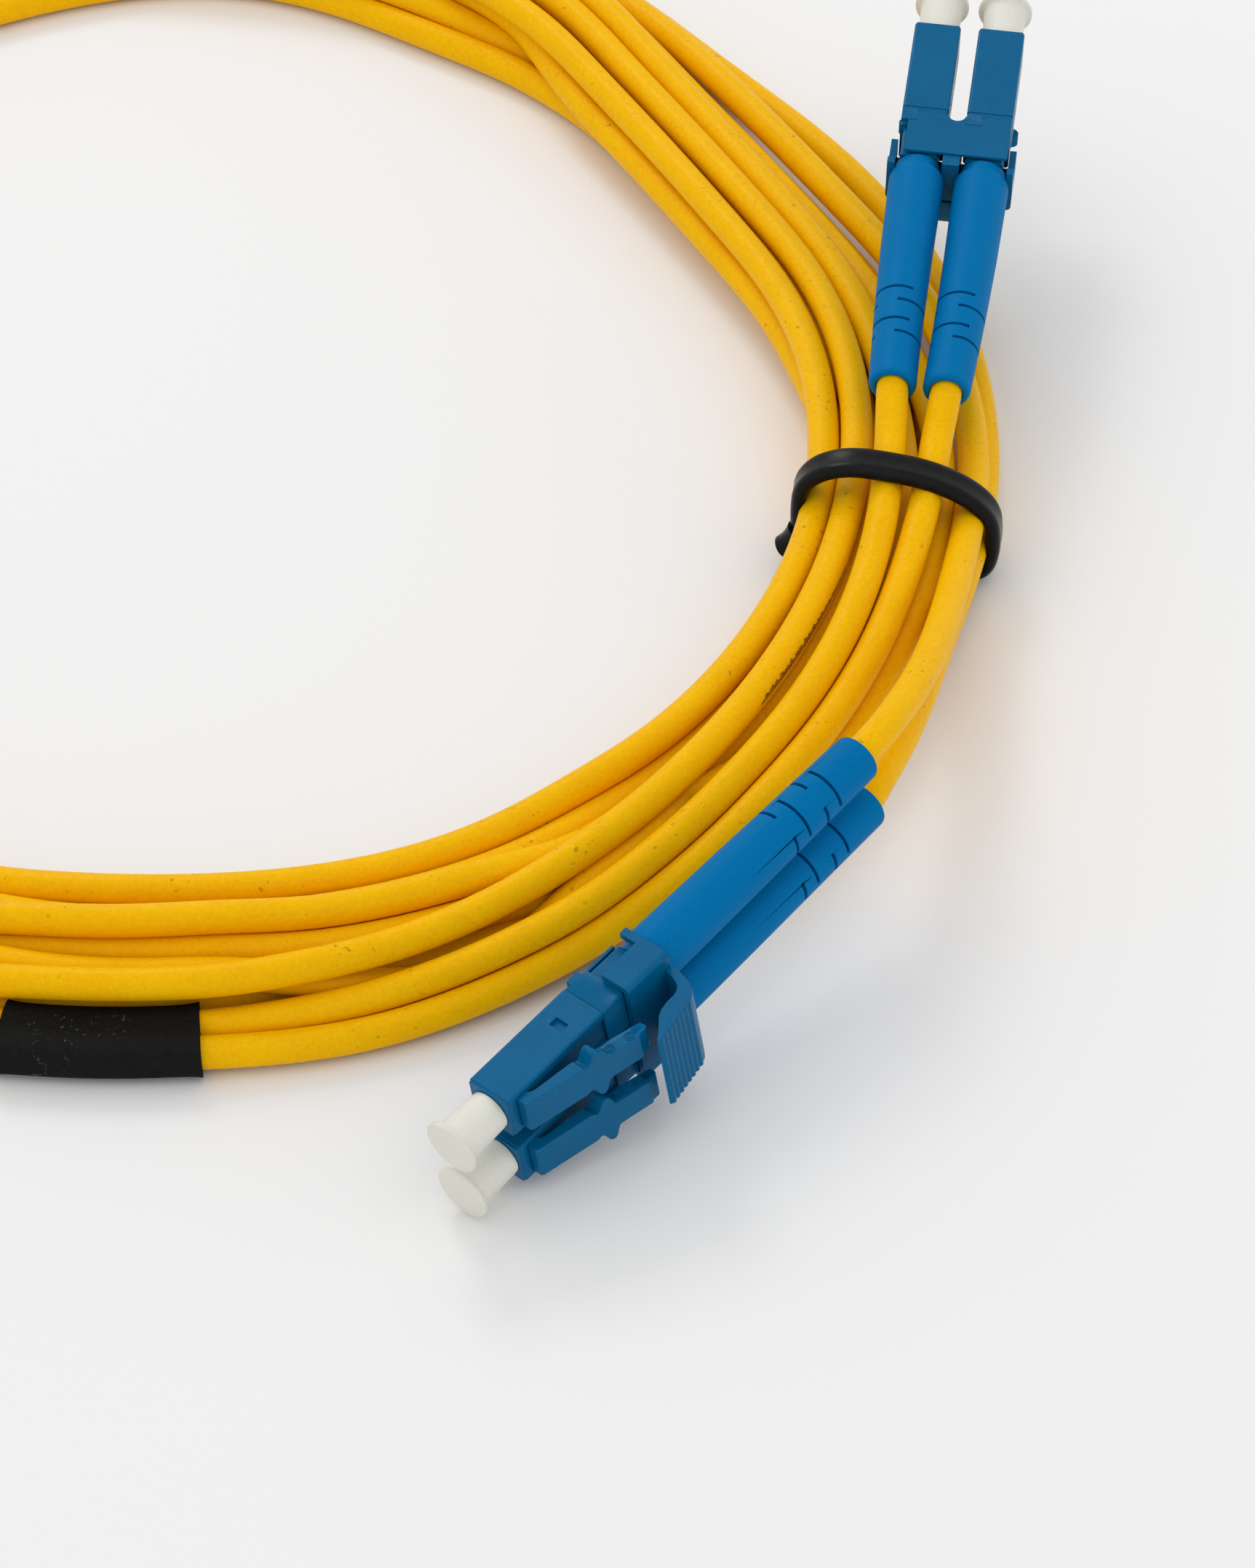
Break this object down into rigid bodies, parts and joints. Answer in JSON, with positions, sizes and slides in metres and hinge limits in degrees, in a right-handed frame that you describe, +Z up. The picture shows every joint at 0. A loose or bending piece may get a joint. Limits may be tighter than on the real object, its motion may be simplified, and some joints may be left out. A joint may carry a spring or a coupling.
{
  "type": "fiber optic patch cord",
  "caption": "Duplex LC fibre patch cord wound in a flat ring: sprung ferrules, dust caps, coupled latches and trigger, clip, boots, sleeves and a twist tie.",
  "frame": {"origin": "middle of the whole cord seen from above, on the surface it lies on", "axes": "+Z up through the wound ring, +Y towards the free end of the upper connector, +X to the side where the two connectors lie"},
  "size_m": [0.1642, 0.2012, 0.022],
  "materials": {
    "blue_plastic": "glossy moulded polymer with a fine grain",
    "blue_boot": "satin elastomer",
    "white_cap": "satin moulded polyethylene",
    "ceramic": "polished zirconia",
    "steel": "turned and plated",
    "yellow_jacket": "satin PVC jacket",
    "black_tie": "glossy PVC",
    "black_sleeve": "dull heat-shrink tube",
    "buffer": "satin"
  },
  "bodies": {
    "cord": {"clip_a": "blue_plastic", "clip_b": "blue_plastic", "lead_a1": "yellow_jacket", "lead_a2": "yellow_jacket", "lead_b1": "yellow_jacket", "lead_b2": "yellow_jacket", "coil": "yellow_jacket", "sleeve_a": "black_sleeve", "sleeve_b": "black_sleeve", "twist_tie": "black_tie", "tie_tail": "black_tie", "housing_a1": "blue_plastic", "rear_body_a1": "blue_plastic", "crimp_ring_a1": "steel", "spring_a1": "steel", "boot_a1": "blue_boot", "housing_a2": "blue_plastic", "rear_body_a2": "blue_plastic", "crimp_ring_a2": "steel", "spring_a2": "steel", "boot_a2": "blue_boot", "housing_b1": "blue_plastic", "rear_body_b1": "blue_plastic", "crimp_ring_b1": "steel", "spring_b1": "steel", "boot_b1": "blue_boot", "housing_b2": "blue_plastic", "rear_body_b2": "blue_plastic", "crimp_ring_b2": "steel", "spring_b2": "steel", "boot_b2": "blue_boot"},
    "cap_a1": {"dust_cap_a1": "white_cap"},
    "ferrule_a1_body": {"ferrule_a1": "ceramic", "flange_a1": "steel", "buffer_a1": "buffer"},
    "latch_a1_body": {"latch_a1": "blue_plastic"},
    "cap_a2": {"dust_cap_a2": "white_cap"},
    "ferrule_a2_body": {"ferrule_a2": "ceramic", "flange_a2": "steel", "buffer_a2": "buffer"},
    "latch_a2_body": {"latch_a2": "blue_plastic"},
    "cap_b1": {"dust_cap_b1": "white_cap"},
    "ferrule_b1_body": {"ferrule_b1": "ceramic", "flange_b1": "steel", "buffer_b1": "buffer"},
    "latch_b1_body": {"latch_b1": "blue_plastic"},
    "cap_b2": {"dust_cap_b2": "white_cap"},
    "ferrule_b2_body": {"ferrule_b2": "ceramic", "flange_b2": "steel", "buffer_b2": "buffer"},
    "latch_b2_body": {"latch_b2": "blue_plastic"},
    "trigger_a_body": {"trigger_a": "blue_plastic"},
    "trigger_b_body": {"trigger_b": "blue_plastic"}
  },
  "joints": [
    {"name": "cap_a1_pull", "type": "slide", "parent": "cord", "child": "cap_a1", "axis": [-0.6868, -0.7113, -0.1495], "range_m": [0, 0.012]},
    {"name": "ferrule_a1_float", "type": "slide", "parent": "cord", "child": "ferrule_a1_body", "axis": [-0.6868, -0.7113, -0.1495], "range_m": [-0.001, 0], "stiffness_N_per_m": 1800, "springref_m": 0.0025},
    {"name": "cap_a2_pull", "type": "slide", "parent": "cord", "child": "cap_a2", "axis": [-0.6868, -0.7113, -0.1495], "range_m": [0, 0.012]},
    {"name": "ferrule_a2_float", "type": "slide", "parent": "cord", "child": "ferrule_a2_body", "axis": [-0.6868, -0.7113, -0.1495], "range_m": [-0.001, 0], "stiffness_N_per_m": 1800, "springref_m": 0.0025},
    {"name": "cap_b1_pull", "type": "slide", "parent": "cord", "child": "cap_b1", "axis": [0.1656, 0.9793, 0.1167], "range_m": [0, 0.012]},
    {"name": "ferrule_b1_float", "type": "slide", "parent": "cord", "child": "ferrule_b1_body", "axis": [0.1656, 0.9793, 0.1167], "range_m": [-0.001, 0], "stiffness_N_per_m": 1800, "springref_m": 0.0025},
    {"name": "cap_b2_pull", "type": "slide", "parent": "cord", "child": "cap_b2", "axis": [0.1656, 0.9793, 0.1167], "range_m": [0, 0.012]},
    {"name": "ferrule_b2_float", "type": "slide", "parent": "cord", "child": "ferrule_b2_body", "axis": [0.1656, 0.9793, 0.1167], "range_m": [-0.001, 0], "stiffness_N_per_m": 1800, "springref_m": 0.0025},
    {"name": "trigger_a_press", "type": "hinge", "parent": "cord", "child": "trigger_a_body", "pos_m": [0.04218, -0.08303, 0.00942], "axis": [0.1039, 0.1076, -0.9888], "range_deg": [0, 15], "stiffness_Nm_per_rad": 0.1},
    {"name": "trigger_b_press", "type": "hinge", "parent": "cord", "child": "trigger_b_body", "pos_m": [0.0722, 0.02077, 0.01341], "axis": [0.9853, -0.1592, -0.0624], "range_deg": [0, 15], "stiffness_Nm_per_rad": 0.1},
    {"name": "latch_a1_flex", "type": "hinge", "parent": "cord", "child": "latch_a1_body", "pos_m": [0.02944, -0.09571, 0.00986], "axis": [0.1039, 0.1076, -0.9888], "range_deg": [-9, 0]},
    {"name": "latch_a2_flex", "type": "hinge", "parent": "cord", "child": "latch_a2_body", "pos_m": [0.03009, -0.09504, 0.00368], "axis": [0.1039, 0.1076, -0.9888], "range_deg": [-9, 0]},
    {"name": "latch_b1_flex", "type": "hinge", "parent": "cord", "child": "latch_b1_body", "pos_m": [0.07207, 0.03856, 0.01602], "axis": [0.9853, -0.1592, -0.0624], "range_deg": [-9, 0]},
    {"name": "latch_b2_flex", "type": "hinge", "parent": "cord", "child": "latch_b2_body", "pos_m": [0.07823, 0.03757, 0.01563], "axis": [0.9853, -0.1592, -0.0624], "range_deg": [-9, 0]}
  ],
  "couplings": [
    {"joint": "latch_a1_flex", "follows": "trigger_a_press", "ratio": -0.6},
    {"joint": "latch_a2_flex", "follows": "trigger_a_press", "ratio": -0.6},
    {"joint": "latch_b1_flex", "follows": "trigger_b_press", "ratio": -0.6},
    {"joint": "latch_b2_flex", "follows": "trigger_b_press", "ratio": -0.6}
  ]
}
